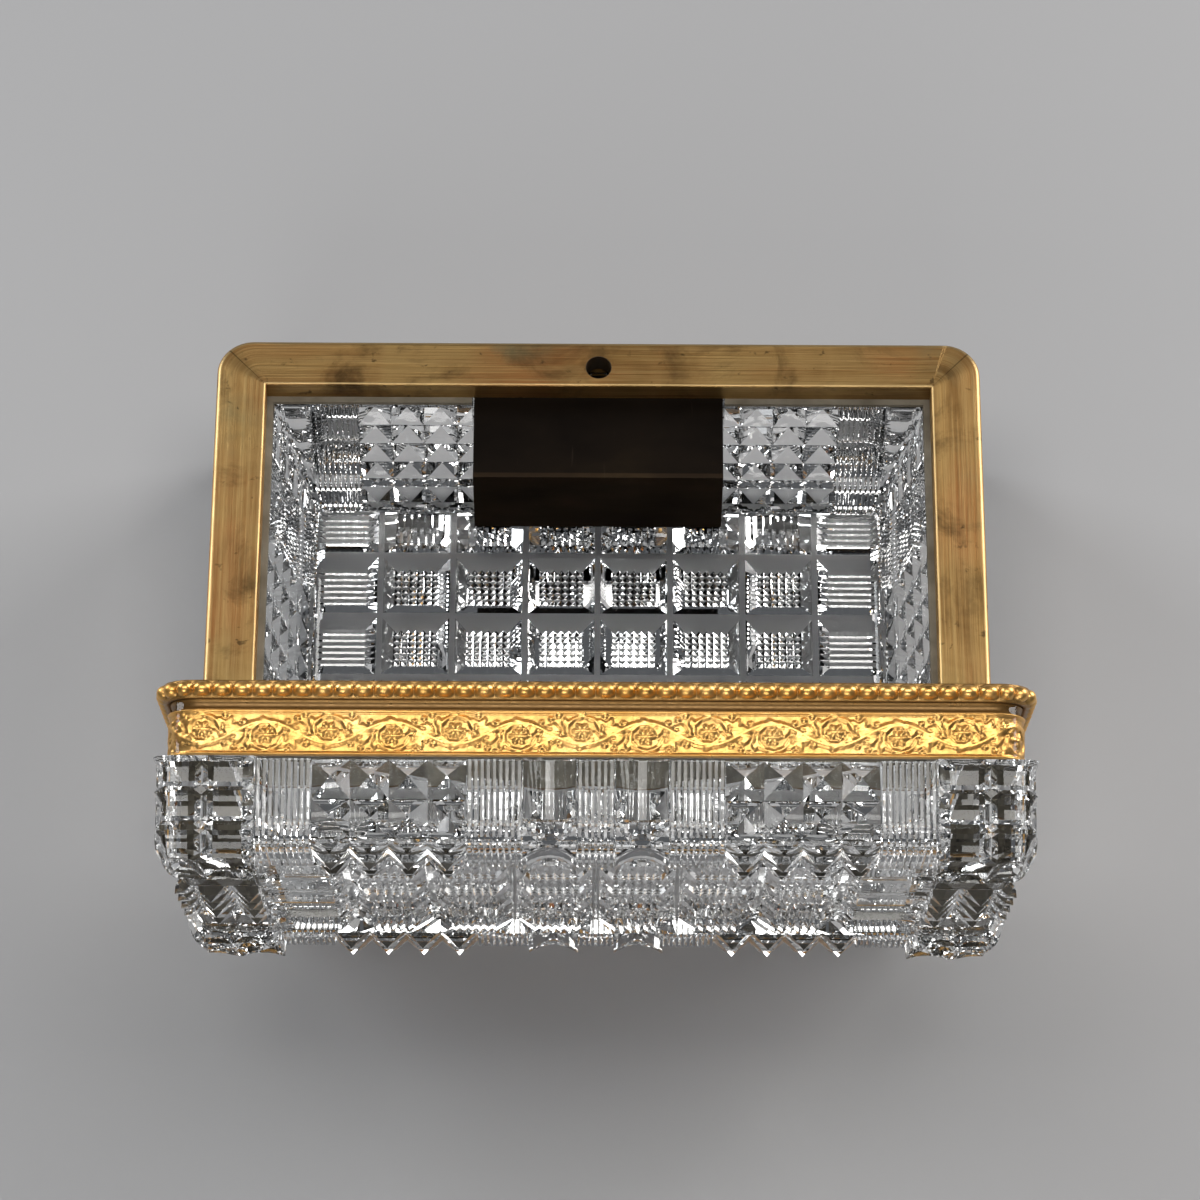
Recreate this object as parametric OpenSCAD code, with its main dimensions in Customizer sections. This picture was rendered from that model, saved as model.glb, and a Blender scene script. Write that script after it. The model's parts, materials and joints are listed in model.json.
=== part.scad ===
// Cut-crystal inkwell casket with gilt mounts, hinged lid and box lock.
// +Z up, origin at the centre of the underside, hinge at +Y, lock at -Y.

/* [Overall] */

// overall width of the case
width = 150; // [120:1:190]

// overall depth of the case
depth = 98; // [80:1:124]

// height of the body from its underside to the top of its rim
body_h = 42.5; // [36:0.5:60]

// height of the lid from its mating face to its top
lid_h = 31.4; // [26:0.2:44]

// radius of the mounts' outer corners
corner_r = 7; // [4:0.5:10]

/* [Crystal] */

// thickness of the body's crystal base
base_t = 8.7; // [6:0.1:12]

// thickness of the lid's crystal top
top_t = 7.9; // [5:0.1:11]

// inward slope of the inner walls in degrees
wall_slope = 14.8; // [6:0.2:18]

// depth of the diamond cutting
cut_d = 2.2; // [1:0.1:2.6]

// spacing of the diamonds across a panel
diamond_p = 6.2; // [4.5:0.1:7]

// width of the waffle cells on the base and top
cell_x = 14.5; // [10:0.1:16]

// depth of the waffle cells on the base and top
cell_y = 13.7; // [9:0.1:15]

/* [Mounts] */

// width of the flat rim bar at the sides
rim_w = 9.7; // [7:0.1:12]

// width of the flat rim bar at front and back
rim_d = 10; // [7:0.1:12]

// thickness of the flat rim bar
rim_t = 4.7; // [3:0.1:7]

// height of the ornamented band under or over the rims
band_h = 8; // [5:0.1:10]

// wall thickness of the ornamented bands
band_t = 1.4; // [1:0.1:2]

// how far the bands sit back from the outer edge
band_in = 1.9; // [1:0.1:3]

// height of the beaded moulding on the lid
bead_h = 3.1; // [2:0.1:4]

// height of the groove over the beaded moulding
groove_h = 1.7; // [1:0.1:3]

/* [Lock] */

// width of the lock case
lock_w = 49; // [36:1:60]

// height of the lock case under the rim
lock_h = 20; // [16:0.5:24]

// how far the lock case stands into the cavity
lock_c = 18; // [10:0.5:20]

// radius of the latch hole in the rim
hole_r = 2.5; // [2.3:0.05:3.2]

// radius of the empty catch seat in the lid's rim
seat_r = 1.9; // [1.5:0.05:2.3]

// distance of the latch hole from the front of the rim
hole_in = 5.8; // [5:0.1:6.5]

// travel of the lock bolt
bolt_travel = 5; // [4:0.5:6]

// thickness of the lock case's sheet
plate_t = 1; // [0.6:0.1:1.2]

// radius of the key post
post_r = 1.1; // [0.9:0.05:1.4]

// radius of the escutcheon
escutcheon_r = 6.6; // [5.5:0.1:7]

/* [Hinge] */

// outer radius of the hinge knuckles
knuckle_r = 2; // [1.6:0.1:3]

// radius of the hinge pin
pin_r = 1; // [0.7:0.05:1.3]

// overall length of the hinge
hinge_l = 90; // [60:1:110]

// angle the lid stands open
open_deg = 104; // [90:1:110]

/* [Hidden] */

$fn = 64;
hx = width / 2;
hy = depth / 2;
ix = hx - rim_w;
iy = hy - rim_d;
slope = tan(wall_slope);
lz = body_h + 0.05;
lid_top = lz + lid_h;
rim_z = body_h - rim_t;
band_z = rim_z - band_h;
bx = hx - band_in;
by = hy - band_in;
bed_t = 0.5;              // plaster between a band and the crystal
lip_t = 0.6;              // plaster between a rim and the crystal
nx = bx - band_t - bed_t;
ny = by - band_t - bed_t;
glass_in = 0.2;           // how far the crystal stands inside the mounts' outline
glass_r = 3;              // radius of the crystal's upright corners
turn = 1;                 // how much tighter each inner mount's corner is
lid_rim_t = 1.5;
axis_y = hy + knuckle_r + 0.1;
axis_z = body_h;
hole_y = -(hy - hole_in);
lid_band_z = lz + bead_h + groove_h;
lid_glass_z = lid_band_z + band_h + 0.5;
knuckle_l = hinge_l / 5;
lock_z = rim_z - lock_h;
lock_in = -iy + lock_c;
lock_back = -(hy - 3.6);  // outer face of the case's upper part, behind the band
step_y = -iy + 1.6;       // outer face of its lower part, inside the crystal wall
lock_gap = 0.4;           // clearance round the lock case
key_bore_r = 3;           // way in for the key
over = 1;                 // how far a cutter runs past what it cuts
key_z = band_z - 1.3;
bolt_z = rim_z - 3.4;
guide_x = -16.4;          // place of the bolt's guide stud
guide_r = 1;
knuckle_gap = 0.1;        // end play between knuckles

// block with four round upright corners
module rblock(x, y, r, z0, z1) {
  translate([-x, -(y - r), z0]) cube([2 * x, 2 * (y - r), z1 - z0]);
  translate([-(x - r), -y, z0]) cube([2 * (x - r), 2 * y, z1 - z0]);
  for (sx = [-1, 1], sy = [-1, 1])
    translate([sx * (x - r), sy * (y - r), z0]) cylinder(r = r, h = z1 - z0);
}

// four-sided frustum between two rectangles
module frustum(x0, y0, z0, x1, y1, z1) {
  polyhedron(
    points = [[-x0, -y0, z0], [x0, -y0, z0], [x0, y0, z0], [-x0, y0, z0],
              [-x1, -y1, z1], [x1, -y1, z1], [x1, y1, z1], [-x1, y1, z1]],
    faces = [[0, 1, 2, 3], [7, 6, 5, 4], [4, 5, 1, 0], [5, 6, 2, 1],
             [6, 7, 3, 2], [7, 4, 0, 3]]);
}

// straight V-cut of half width w and depth d along X, opening towards -Y
module vcut_x(l, w, d) {
  rotate([90, 0, 90]) translate([0, 0, -l / 2])
    linear_extrude(l) polygon([[-1, -w * (1 + 1 / d)], [d, 0], [-1, w * (1 + 1 / d)]]);
}

// straight V-cut along Z, opening towards -Y
module vcut_z(l, w, d) {
  linear_extrude(l) polygon([[-w * (1 + 1 / d), -1], [0, d], [w * (1 + 1 / d), -1]]);
}

// diamond panel cut into a wall facing -Y at y, centred on x, from z0 to z1
module diamonds(x, y, z0, z1, cols) {
  pz = (z1 - z0) / max(1, round((z1 - z0) / diamond_p));
  rows = round((z1 - z0) / pz);
  for (i = [0 : cols])
    translate([x + (i - cols / 2) * diamond_p, y, z0 - pz / 2])
      vcut_z(z1 - z0 + pz, diamond_p * 0.42, cut_d);
  for (k = [0 : rows])
    translate([x, y, z0 + k * pz])
      vcut_x(cols * diamond_p + diamond_p * 0.84, pz * 0.42, cut_d);
}

// all wall cuts of a crystal between two heights
module wall_cuts(z0, z1) {
  for (a = [0, 180]) rotate([0, 0, a]) {
    for (s = [-1, 1])
      diamonds(s * hx * 0.465, -hy, z0, z1, 4);
    for (s = [-1, 1])
      translate([s * hx * 0.1, -hy - 3.2, z0]) cylinder(r = 5, h = z1 - z0);
    for (s = [-1, 1], k = [0 : 2])
      translate([s * hx, -hy, z0 + (k + 0.5) * (z1 - z0) / 3])
        rotate([0, 0, s * 45]) rotate([0, 90, 0])
          translate([0, 0, -9]) cylinder(r = 2.4, h = 18);
  }
  for (a = [90, 270]) rotate([0, 0, a])
    diamonds(0, -hx, z0, z1, 4);
}

// flat-bottomed cut along X opening towards +Z at z = 0
module groove_x(l) {
  rotate([90, 0, 90]) translate([0, 0, -l / 2])
    linear_extrude(l) polygon([[-1.5, 1], [-0.6, -0.75], [0.6, -0.75], [1.5, 1]]);
}

// crossed cuts of the waffle pattern on a face looking up at z = 0
module waffle() {
  for (i = [-3 : 3])
    translate([i * cell_x, 0, 0]) rotate([0, 0, 90]) groove_x(2 * hy - 12);
  for (j = [-2, -1, 1, 2])
    translate([0, (j - sign(j) * 0.5) * cell_y, 0]) groove_x(2 * hx - 12);
}

// carries the closed lid to its open rest
module opened() {
  translate([0, axis_y, axis_z]) rotate([-open_deg, 0, 0])
    translate([0, -axis_y, -axis_z]) children();
}

module crystal_body() color([0.86, 0.9, 0.92, 0.4]) {
  difference() {
    union() {
      rblock(hx - glass_in, hy - glass_in, glass_r, 0, band_z - 0.4);
      rblock(nx, ny, corner_r - 2 * turn, band_z - 0.5, rim_z - lip_t);
    }
    frustum(ix - slope * (body_h - base_t), iy - slope * (body_h - base_t), base_t,
            ix + slope * 1, iy + slope * 1, body_h + 1);
    wall_cuts(2.6, band_z - 3);
    mirror([0, 0, 1]) waffle();
    // recess for the lock behind the band
    translate([-lock_w / 2 - lock_gap, -hy - over, band_z - 0.2])
      cube([lock_w + 2 * lock_gap, rim_w + 6, rim_z - band_z + 2]);
    // recess for the lower part of the lock case
    translate([-lock_w / 2 - lock_gap, step_y - lock_gap, lock_z - lock_gap])
      cube([lock_w + 2 * lock_gap, 12, rim_z - lock_z + 2]);
    // key channel
    translate([0, 0, key_z]) rotate([90, 0, 0])
      translate([0, 0, iy - 8]) cylinder(r = key_bore_r + 0.6, h = 22);
    // seat of the escutcheon
    translate([0, -hy + 0.9, key_z]) rotate([90, 0, 0]) cylinder(r = escutcheon_r + 0.2, h = 4);
  }
}

module body_band() color([0.83, 0.66, 0.35]) {
  difference() {
    rblock(bx, by, corner_r - turn, band_z, rim_z);
    rblock(nx + bed_t, ny + bed_t, corner_r - 2 * turn, band_z - 1, rim_z + 1);
    translate([0, 0, key_z + 1.3]) translate([-3, -hy - 1, -1])
      cube([6, 6, 3.9]);
  }
}

module body_fillet() color([0.83, 0.66, 0.35]) {
  difference() {
    rblock(bx + 0.9, by + 0.9, corner_r - turn, band_z, band_z + 1.1);
    rblock(bx, by, corner_r - turn, band_z - 1, band_z + 3);
    translate([-6.9, -hy - 2, band_z - 1]) cube([13.8, 6, 4]);
  }
}

module body_rim() color([0.66, 0.5, 0.3]) {
  difference() {
    rblock(hx, hy, corner_r, rim_z, body_h);
    translate([-ix, -iy, rim_z - 1]) cube([2 * ix, 2 * iy, rim_t + 2]);
    translate([0, hole_y, rim_z - 1]) cylinder(r = hole_r, h = rim_t + 2);
  }
}

module body_bedding() color([0.82, 0.8, 0.74]) {
  difference() {
    rblock(nx + bed_t, ny + bed_t, corner_r - 2 * turn, band_z + 0.3, rim_z);
    rblock(nx, ny, corner_r - 2 * turn, band_z - 1, rim_z - lip_t);
    frustum(ix - slope * (body_h - base_t), iy - slope * (body_h - base_t), base_t,
            ix + slope * 1, iy + slope * 1, body_h + 1);
    translate([-lock_w / 2 - lock_gap, -hy - over, band_z - over])
      cube([lock_w + 2 * lock_gap, rim_w + 8, rim_z - band_z + 2 * over]);
  }
}

module lock_case() color([0.13, 0.09, 0.06]) {
  difference() {
    union() {
      translate([-lock_w / 2, lock_back, band_z])
        cube([lock_w, lock_in - plate_t - lock_back, rim_z - band_z]);
      translate([-lock_w / 2, step_y, lock_z])
        cube([lock_w, lock_in - plate_t - step_y, rim_z - lock_z]);
    }
    translate([-lock_w / 2 + plate_t, lock_back + plate_t, band_z + plate_t])
      cube([lock_w - 2 * plate_t, lock_in - lock_back, rim_z - band_z - 2 * plate_t]);
    translate([-lock_w / 2 + plate_t, step_y + plate_t, lock_z + plate_t])
      cube([lock_w - 2 * plate_t, lock_in - step_y, rim_z - lock_z - 2 * plate_t]);
    // way in for the catch
    translate([0, hole_y, rim_z - 2]) cylinder(r = hole_r + 0.3, h = 3);
    // way in for the key
    translate([0, 0, key_z]) rotate([90, 0, 0])
      translate([0, 0, iy - 8]) cylinder(r = key_bore_r, h = 22);
  }
}

module lock_cover() color([0.15, 0.1, 0.06]) {
  difference() {
    translate([-lock_w / 2, lock_in - plate_t, lock_z]) cube([lock_w, plate_t, lock_h]);
    translate([0, lock_in + over, key_z]) rotate([90, 0, 0]) cylinder(r = post_r, h = 4);
  }
}

module lock_bolt() color([0.6, 0.6, 0.58]) {
  difference() {
    union() {
      // nose that shoots across under the latch hole
      translate([-9, hole_y - 0.75, bolt_z - 1.1]) cube([9 - hole_r - 0.2, 1.5, 2.2]);
      // plate guided in the case
      translate([-23, hole_y - 0.75, bolt_z - 2.6]) cube([15, 2, 4.8]);
    }
    // slot that runs along the guide stud
    for (x = [guide_x, guide_x - bolt_travel])
      translate([x, hole_y + 3, bolt_z - 0.2]) rotate([90, 0, 0])
        cylinder(r = guide_r + 0.05, h = 6);
    translate([guide_x - bolt_travel, hole_y - 3, bolt_z - 1.25])
      cube([bolt_travel, 6, 2 * guide_r + 0.1]);
  }
}

module bolt_guide() color([0.72, 0.58, 0.34]) {
  translate([guide_x, lock_back + plate_t, bolt_z - 0.2]) rotate([-90, 0, 0])
    cylinder(r = guide_r, h = 5);
}

module bolt_spring() color([0.45, 0.47, 0.5]) {
  translate([-22, hole_y - 0.4, band_z + plate_t]) {
    cube([2, 1.4, 0.5]);
    translate([0, 0, 0.45]) cube([12, 1.4, 0.35]);
  }
}

module key_post() color([0.5, 0.5, 0.48]) {
  translate([0, lock_in - 0.02, key_z]) rotate([90, 0, 0])
    cylinder(r = post_r, h = lock_in + hy - 3);
}

module escutcheon() color([0.85, 0.68, 0.36]) {
  difference() {
    translate([0, -hy + 0.9, key_z]) rotate([90, 0, 0]) {
      cylinder(r = escutcheon_r, h = 1.3);
      translate([0, 0, 1.3]) cylinder(r1 = escutcheon_r - 0.4, r2 = escutcheon_r - 0.8, h = 0.5);
    }
    translate([0, -hy + 3, key_z]) rotate([90, 0, 0]) cylinder(r = 2.4, h = 8);
    translate([-0.9, -hy - 3, key_z - 4.6]) cube([1.8, 8, 4]);
  }
}

module hinge_knuckles_body() color([0.83, 0.66, 0.35]) {
  difference() {
    for (k = [-2, 0, 2])
      union() {
        translate([(k - 0.5) * knuckle_l + knuckle_gap / 2, axis_y, axis_z]) rotate([0, 90, 0])
          cylinder(r = knuckle_r, h = knuckle_l - knuckle_gap);
        translate([(k - 0.5) * knuckle_l + knuckle_gap / 2, hy, axis_z - 4])
          cube([knuckle_l - knuckle_gap, knuckle_r + 0.1 - pin_r - 0.2, 3.7]);
      }
    translate([-hinge_l / 2 - 1, axis_y, axis_z]) rotate([0, 90, 0])
      cylinder(r = pin_r, h = hinge_l + 2);
  }
}

module hinge_pin() color([0.62, 0.6, 0.55]) {
  translate([-hinge_l / 2 + 0.2, axis_y, axis_z]) rotate([0, 90, 0])
    cylinder(r = pin_r, h = hinge_l - 0.4);
}

module crystal_lid() color([0.86, 0.9, 0.92, 0.4]) opened() {
  difference() {
    union() {
      rblock(hx - glass_in, hy - glass_in, glass_r, lid_glass_z, lid_top - 1.4);
      frustum(hx - glass_in, hy - glass_in, lid_top - 1.4, hx - 1.8, hy - 1.8, lid_top);
      rblock(nx, ny, corner_r - 2 * turn, lz + lid_rim_t + lip_t, lid_glass_z + 0.1);
    }
    frustum(ix + slope, iy + slope, lz - 1,
            ix - slope * (lid_h - top_t), iy - slope * (lid_h - top_t), lid_top - top_t);
    wall_cuts(lid_glass_z + 2.6, lid_top - 2.2);
    translate([0, 0, lid_top]) waffle();
  }
}

module lid_band() color([0.85, 0.68, 0.36]) opened() {
  difference() {
    union() {
      rblock(bx, by, corner_r - turn, lid_band_z, lid_band_z + band_h);
      rblock(bx - 0.6, by - 0.6, corner_r - 1.5 * turn, lz + lid_rim_t, lid_band_z + 0.1);
    }
    rblock(nx + bed_t, ny + bed_t, corner_r - 2 * turn, lz - 1, lid_top);
  }
}

module lid_fillet() color([0.85, 0.68, 0.36]) opened() {
  difference() {
    rblock(bx + 0.7, by + 0.7, corner_r - turn, lid_band_z + band_h - 0.9, lid_band_z + band_h);
    rblock(bx, by, corner_r - turn, lid_band_z, lid_top);
  }
}

module lid_beading() color([0.85, 0.68, 0.36]) opened() {
  difference() {
    union() {
      rblock(hx - 0.5, hy - 0.5, corner_r - 0.5, lz, lz + bead_h);
      rblock(hx, hy, corner_r, lz + 0.6, lz + bead_h - 0.6);
    }
    rblock(bx - 0.6, by - 0.6, corner_r - 1.5 * turn, lz - 1, lz + bead_h + 1);
    // seats for the hinge's lid leaves
    for (k = [-1, 1])
      translate([(k - 0.5) * knuckle_l, hy - 0.9, lz - 1]) cube([knuckle_l, 3, 6]);
  }
}

module lid_rim() color([0.7, 0.54, 0.3]) opened() {
  difference() {
    rblock(bx - 0.6, by - 0.6, corner_r - 1.5 * turn, lz, lz + lid_rim_t);
    translate([-ix, -iy, lz - 1]) cube([2 * ix, 2 * iy, 4]);
    translate([0, hole_y, lz - 1]) cylinder(r = seat_r, h = 4);
  }
}

module lid_bedding() color([0.82, 0.8, 0.74]) opened() {
  difference() {
    rblock(nx + bed_t, ny + bed_t, corner_r - 2 * turn, lz + lid_rim_t, lid_band_z + band_h - 0.3);
    rblock(nx, ny, corner_r - 2 * turn, lz + lid_rim_t + lip_t, lid_top);
    frustum(ix + slope, iy + slope, lz - 1,
            ix - slope * (lid_h - top_t), iy - slope * (lid_h - top_t), lid_top - top_t);
  }
}

module hinge_knuckles_lid() color([0.83, 0.66, 0.35]) {
  difference() {
    union() {
      for (k = [-1, 1]) {
        translate([(k - 0.5) * knuckle_l + knuckle_gap / 2, axis_y, axis_z]) rotate([0, 90, 0])
          cylinder(r = knuckle_r, h = knuckle_l - knuckle_gap);
        opened() translate([(k - 0.5) * knuckle_l + knuckle_gap / 2, hy - 0.9, lz + 0.15])
          cube([knuckle_l - knuckle_gap, knuckle_r + 0.8 - pin_r, 2.9]);
        // lug that stops the open lid
        translate([(k - 0.5) * knuckle_l + 4, hy + 0.04, axis_z - 4.2])
          cube([knuckle_l - 8, knuckle_r - 0.14 - pin_r, 4]);
      }
    }
    translate([-hinge_l / 2 - 1, axis_y, axis_z]) rotate([0, 90, 0])
      cylinder(r = pin_r + 0.04, h = hinge_l + 2);
  }
}

crystal_body();
body_band();
body_fillet();
body_rim();
body_bedding();
lock_case();
lock_cover();
lock_bolt();
bolt_guide();
bolt_spring();
key_post();
escutcheon();
hinge_knuckles_body();
hinge_pin();
crystal_lid();
lid_band();
lid_fillet();
lid_beading();
lid_rim();
lid_bedding();
hinge_knuckles_lid();
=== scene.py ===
"""Cut-crystal inkwell casket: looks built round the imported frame.
All shapes are worked out in millimetres and put into the meshes in metres."""
import json
import math
import bpy
import bmesh
import numpy as np
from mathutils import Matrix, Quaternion, Vector


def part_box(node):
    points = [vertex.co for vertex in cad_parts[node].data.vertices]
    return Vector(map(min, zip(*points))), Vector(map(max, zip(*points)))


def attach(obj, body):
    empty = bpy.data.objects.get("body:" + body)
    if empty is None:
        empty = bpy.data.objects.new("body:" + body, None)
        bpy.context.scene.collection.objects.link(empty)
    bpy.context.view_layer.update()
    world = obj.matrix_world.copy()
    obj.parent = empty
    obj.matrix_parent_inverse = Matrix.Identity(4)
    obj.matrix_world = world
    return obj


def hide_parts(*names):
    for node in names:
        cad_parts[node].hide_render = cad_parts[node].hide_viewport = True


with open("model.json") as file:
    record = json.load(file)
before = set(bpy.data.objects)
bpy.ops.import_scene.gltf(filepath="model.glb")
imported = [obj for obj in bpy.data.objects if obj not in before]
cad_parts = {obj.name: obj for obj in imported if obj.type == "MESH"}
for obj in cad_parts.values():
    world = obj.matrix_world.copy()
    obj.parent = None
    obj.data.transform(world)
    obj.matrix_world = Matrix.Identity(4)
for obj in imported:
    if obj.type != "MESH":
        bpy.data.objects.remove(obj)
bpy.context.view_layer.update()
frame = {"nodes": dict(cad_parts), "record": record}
NODES = frame["nodes"]
JOINTS = {j["name"]: j for j in frame["record"]["behaviour"]["joints"]}

# ---------------------------------------------------------------- sizes, mm
RIM_LO, RIM_HI = (np.array(c) * 1000 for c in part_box("body_rim"))
HALF_W, HALF_D, BODY_H = RIM_HI[0], RIM_HI[1], RIM_HI[2]
RIM_Z = RIM_LO[2]
BAND_LO, BAND_HI = (np.array(c) * 1000 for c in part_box("body_band"))
BAND_X, BAND_Y = BAND_HI[0], BAND_HI[1]
RIM_SIDE, RIM_FRONT = 9.7, 10.0   # widths of the rim's side bars and of its front and back bars
INNER_X, INNER_Y = HALF_W - RIM_SIDE, HALF_D - RIM_FRONT
SLOPE = math.tan(math.radians(14.8))   # how far the hollow draws in for each millimetre down
LID_H = 31.4             # height of the closed lid
LID_Z = BODY_H + 0.05    # mating face of the closed lid
LID_TOP = LID_Z + LID_H
NECK_X = BAND_X - 1.9    # the crystal's neck stands this far inside the frieze
OPEN = math.radians(JOINTS["lid_hinge"]["range_deg"][1])
HINGE = np.array(JOINTS["lid_hinge"]["pos_m"]) * 1000
RIM_CORNER = 7.0         # corner radius of the rim and the bead row
BAND_CORNER = 6.0        # corner radius of the frieze and the groove
BAND_WALL = 1.35         # from the frieze's outline in to its plain back
BEAD_H, GROOVE_H, BAND_H = 3.1, 1.7, 8.0   # heights of the lid's three gilt rings
LID_BAND_Z = LID_Z + BEAD_H + GROOVE_H
LID_GLASS_Z = LID_BAND_Z + BAND_H + 0.5
HOLE_Y, HOLE_R = -(HALF_D - 5.8), 2.5   # the latch hole in the front bar


# ---------------------------------------------------------------- mesh making
def opened(p):
    """Closed-lid points turned about the hinge line into the open rest: y and z rotate by the opening
    angle round the pin."""
    c, s = math.cos(-OPEN), math.sin(-OPEN)
    y, z = p[:, 1] - HINGE[1], p[:, 2] - HINGE[2]
    return np.column_stack([p[:, 0], HINGE[1] + y * c - z * s, HINGE[2] + y * s + z * c])


def piece(name, points, faces, material, body, attributes=None, uv=None, smooth=False):
    """A mesh object from arrays in mm: points scaled to metres, faces as one index array, and if wanted
    a number or a uv pair for each point."""
    mesh = bpy.data.meshes.new(name)
    v = np.asarray(points, dtype=np.float64) * 0.001
    faces = np.asarray(faces, dtype=np.int64)
    n, k = faces.shape
    mesh.vertices.add(len(v))
    mesh.vertices.foreach_set("co", v.ravel())
    mesh.loops.add(n * k)
    mesh.loops.foreach_set("vertex_index", faces.ravel())
    mesh.polygons.add(n)
    mesh.polygons.foreach_set("loop_start", np.arange(0, n * k, k))
    mesh.polygons.foreach_set("use_smooth", np.full(n, smooth))
    mesh.update(calc_edges=True)
    for key, values in (attributes or {}).items():
        layer = mesh.attributes.new(key, "FLOAT", "POINT")
        layer.data.foreach_set("value", np.asarray(values, dtype=np.float32))
    if uv is not None:
        layer = mesh.uv_layers.new(name="UVMap")
        layer.data.foreach_set("uv", np.asarray(uv, dtype=np.float32)[faces.ravel()].ravel())
    bm = bmesh.new()
    bm.from_mesh(mesh)
    bmesh.ops.remove_doubles(bm, verts=bm.verts, dist=2e-7)
    bmesh.ops.dissolve_degenerate(bm, edges=bm.edges, dist=1e-7)
    bmesh.ops.recalc_face_normals(bm, faces=bm.faces)
    bm.to_mesh(mesh)
    bm.free()
    mesh.materials.append(material)
    obj = bpy.data.objects.new(name, mesh)
    bpy.context.scene.collection.objects.link(obj)
    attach(obj, body)
    return obj


def tube_faces(rows, cols, close_rows=False, start=0):
    """Quads of a grid whose columns close on themselves, as a loop carried through rows."""
    r = np.arange(rows if close_rows else rows - 1)
    i, j = np.meshgrid(r, np.arange(cols), indexing="ij")
    i2, j2 = (i + 1) % rows, (j + 1) % cols
    q = np.stack([i * cols + j, i * cols + j2, i2 * cols + j2, i2 * cols + j], axis=-1)
    return q.reshape(-1, 4) + start


def split_quads(quads, depth, centre):
    """Two triangles for each quad, cut along the diagonal whose middle lies nearer the cut's true depth
    there, so that creases stay sharp."""
    a = np.abs((depth[quads[:, 0]] + depth[quads[:, 2]]) / 2 - centre)
    b = np.abs((depth[quads[:, 1]] + depth[quads[:, 3]]) / 2 - centre)
    first = (a <= b)[:, None]
    t1 = np.where(first, quads[:, [0, 1, 2]], quads[:, [1, 2, 3]])
    t2 = np.where(first, quads[:, [0, 2, 3]], quads[:, [1, 3, 0]])
    return np.vstack([t1, t2])


def square_angle(x, y, ax, ay):
    """Place of a point round a rectangle of half sizes ax, ay, counted 0 to 4 from its front left
    corner, seen from the middle."""
    u, v = x / ax, y / ay
    front = (-v >= np.abs(u))
    right = (u > np.abs(v)) & ~front
    back = (v >= np.abs(u)) & ~front & ~right
    with np.errstate(divide="ignore", invalid="ignore"):
        places = [(u / -v + 1) / 2, 1 + (v / u + 1) / 2, 2 + (1 - u / v) / 2]
        a = np.select([front, right, back], places, 3 + (1 - v / -u) / 2)
    return a % 4.0


def lace(ia, ua, ib, ub):
    """Triangles between two closed loops with different counts: the points of both are taken in order
    round the loop, and each new one is joined to the last of the other."""
    sa, sb = np.argsort(ua, kind="stable"), np.argsort(ub, kind="stable")
    ia, ua, ib, ub = ia[sa], ua[sa], ib[sb], ub[sb]
    order = np.argsort(np.concatenate([ua, ub]), kind="stable")
    is_a = order < len(ua)
    ca, cb = np.cumsum(is_a) - 1, np.cumsum(~is_a) - 1
    ta = np.column_stack([ia[(ca[is_a] - 1) % len(ia)], ia[ca[is_a]], ib[cb[is_a] % len(ib)]])
    tb = np.column_stack([ia[ca[~is_a] % len(ia)], ib[cb[~is_a]], ib[(cb[~is_a] - 1) % len(ib)]])
    return np.vstack([ta, tb])


def sides(ax, ay):
    """The four sides of a rectangle in turn: direction along, direction out, half length, and distance
    from the middle."""
    rows = []
    for k, d in enumerate(([1.0, 0.0], [0.0, 1.0], [-1.0, 0.0], [0.0, -1.0])):
        along, out = (ax, ay) if k % 2 == 0 else (ay, ax)
        rows.append((np.array(d), np.array([d[1], -d[0]]), along, out))
    return rows


def round_rectangle(ax, ay, r, step, arc):
    """Points, outward normals and running lengths round a rectangle with round corners, going
    anticlockwise from the front left."""
    pts, nrm = [], []
    for d, n, along, out in sides(ax, ay):
        m = max(2, int(round(2 * (along - r) / step)))
        t = np.linspace(-(along - r), along - r, m + 1)
        pts.append(t[:, None] * d + n * out)
        nrm.append(np.repeat(n[None], m + 1, 0))
        a = np.linspace(0, math.pi / 2, arc + 1)[1:-1]
        corner = d * (along - r) + n * (out - r)
        turn = np.cos(a)[:, None] * n + np.sin(a)[:, None] * d
        pts.append(corner + r * turn)
        nrm.append(turn)
    pts, nrm = np.vstack(pts), np.vstack(nrm)
    seg = np.linalg.norm(np.roll(pts, -1, 0) - pts, axis=1)
    return pts, nrm, np.concatenate([[0], np.cumsum(seg)[:-1]])


# ---------------------------------------------------------------- materials
def tree(name):
    """A new material with its shader, and short ways to add a node and to link."""
    m = bpy.data.materials.new(name)
    m.use_nodes = True
    nt = m.node_tree
    shader = nt.nodes["Principled BSDF"]

    def add(kind, **values):
        """A new node with the given settings."""
        n = nt.nodes.new(kind)
        for k, v in values.items():
            setattr(n, k, v)
        return n

    return m, shader, add, nt.links.new


def ramp(add, link, source, stops):
    """A colour ramp from a list of (place, colour)."""
    r = add("ShaderNodeValToRGB")
    while len(r.color_ramp.elements) < len(stops):
        r.color_ramp.elements.new(0.5)
    for e, (p, c) in zip(r.color_ramp.elements, stops):
        e.position = p
        e.color = (*c, 1)
    link(source, r.inputs["Fac"])
    return r.outputs["Color"]


def grain(add, link, coords, scale, detail=4, stretch=(1, 1, 1), distortion=0.0, rough=0.5):
    """Noise in the given coordinates, squeezed by stretch."""
    mp = add("ShaderNodeMapping")
    mp.inputs["Scale"].default_value = stretch
    link(coords, mp.inputs["Vector"])
    n = add("ShaderNodeTexNoise")
    n.inputs["Scale"].default_value = scale
    n.inputs["Detail"].default_value = detail
    n.inputs["Roughness"].default_value = rough
    n.inputs["Distortion"].default_value = distortion
    link(mp.outputs["Vector"], n.inputs["Vector"])
    return n.outputs["Fac"]


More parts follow.
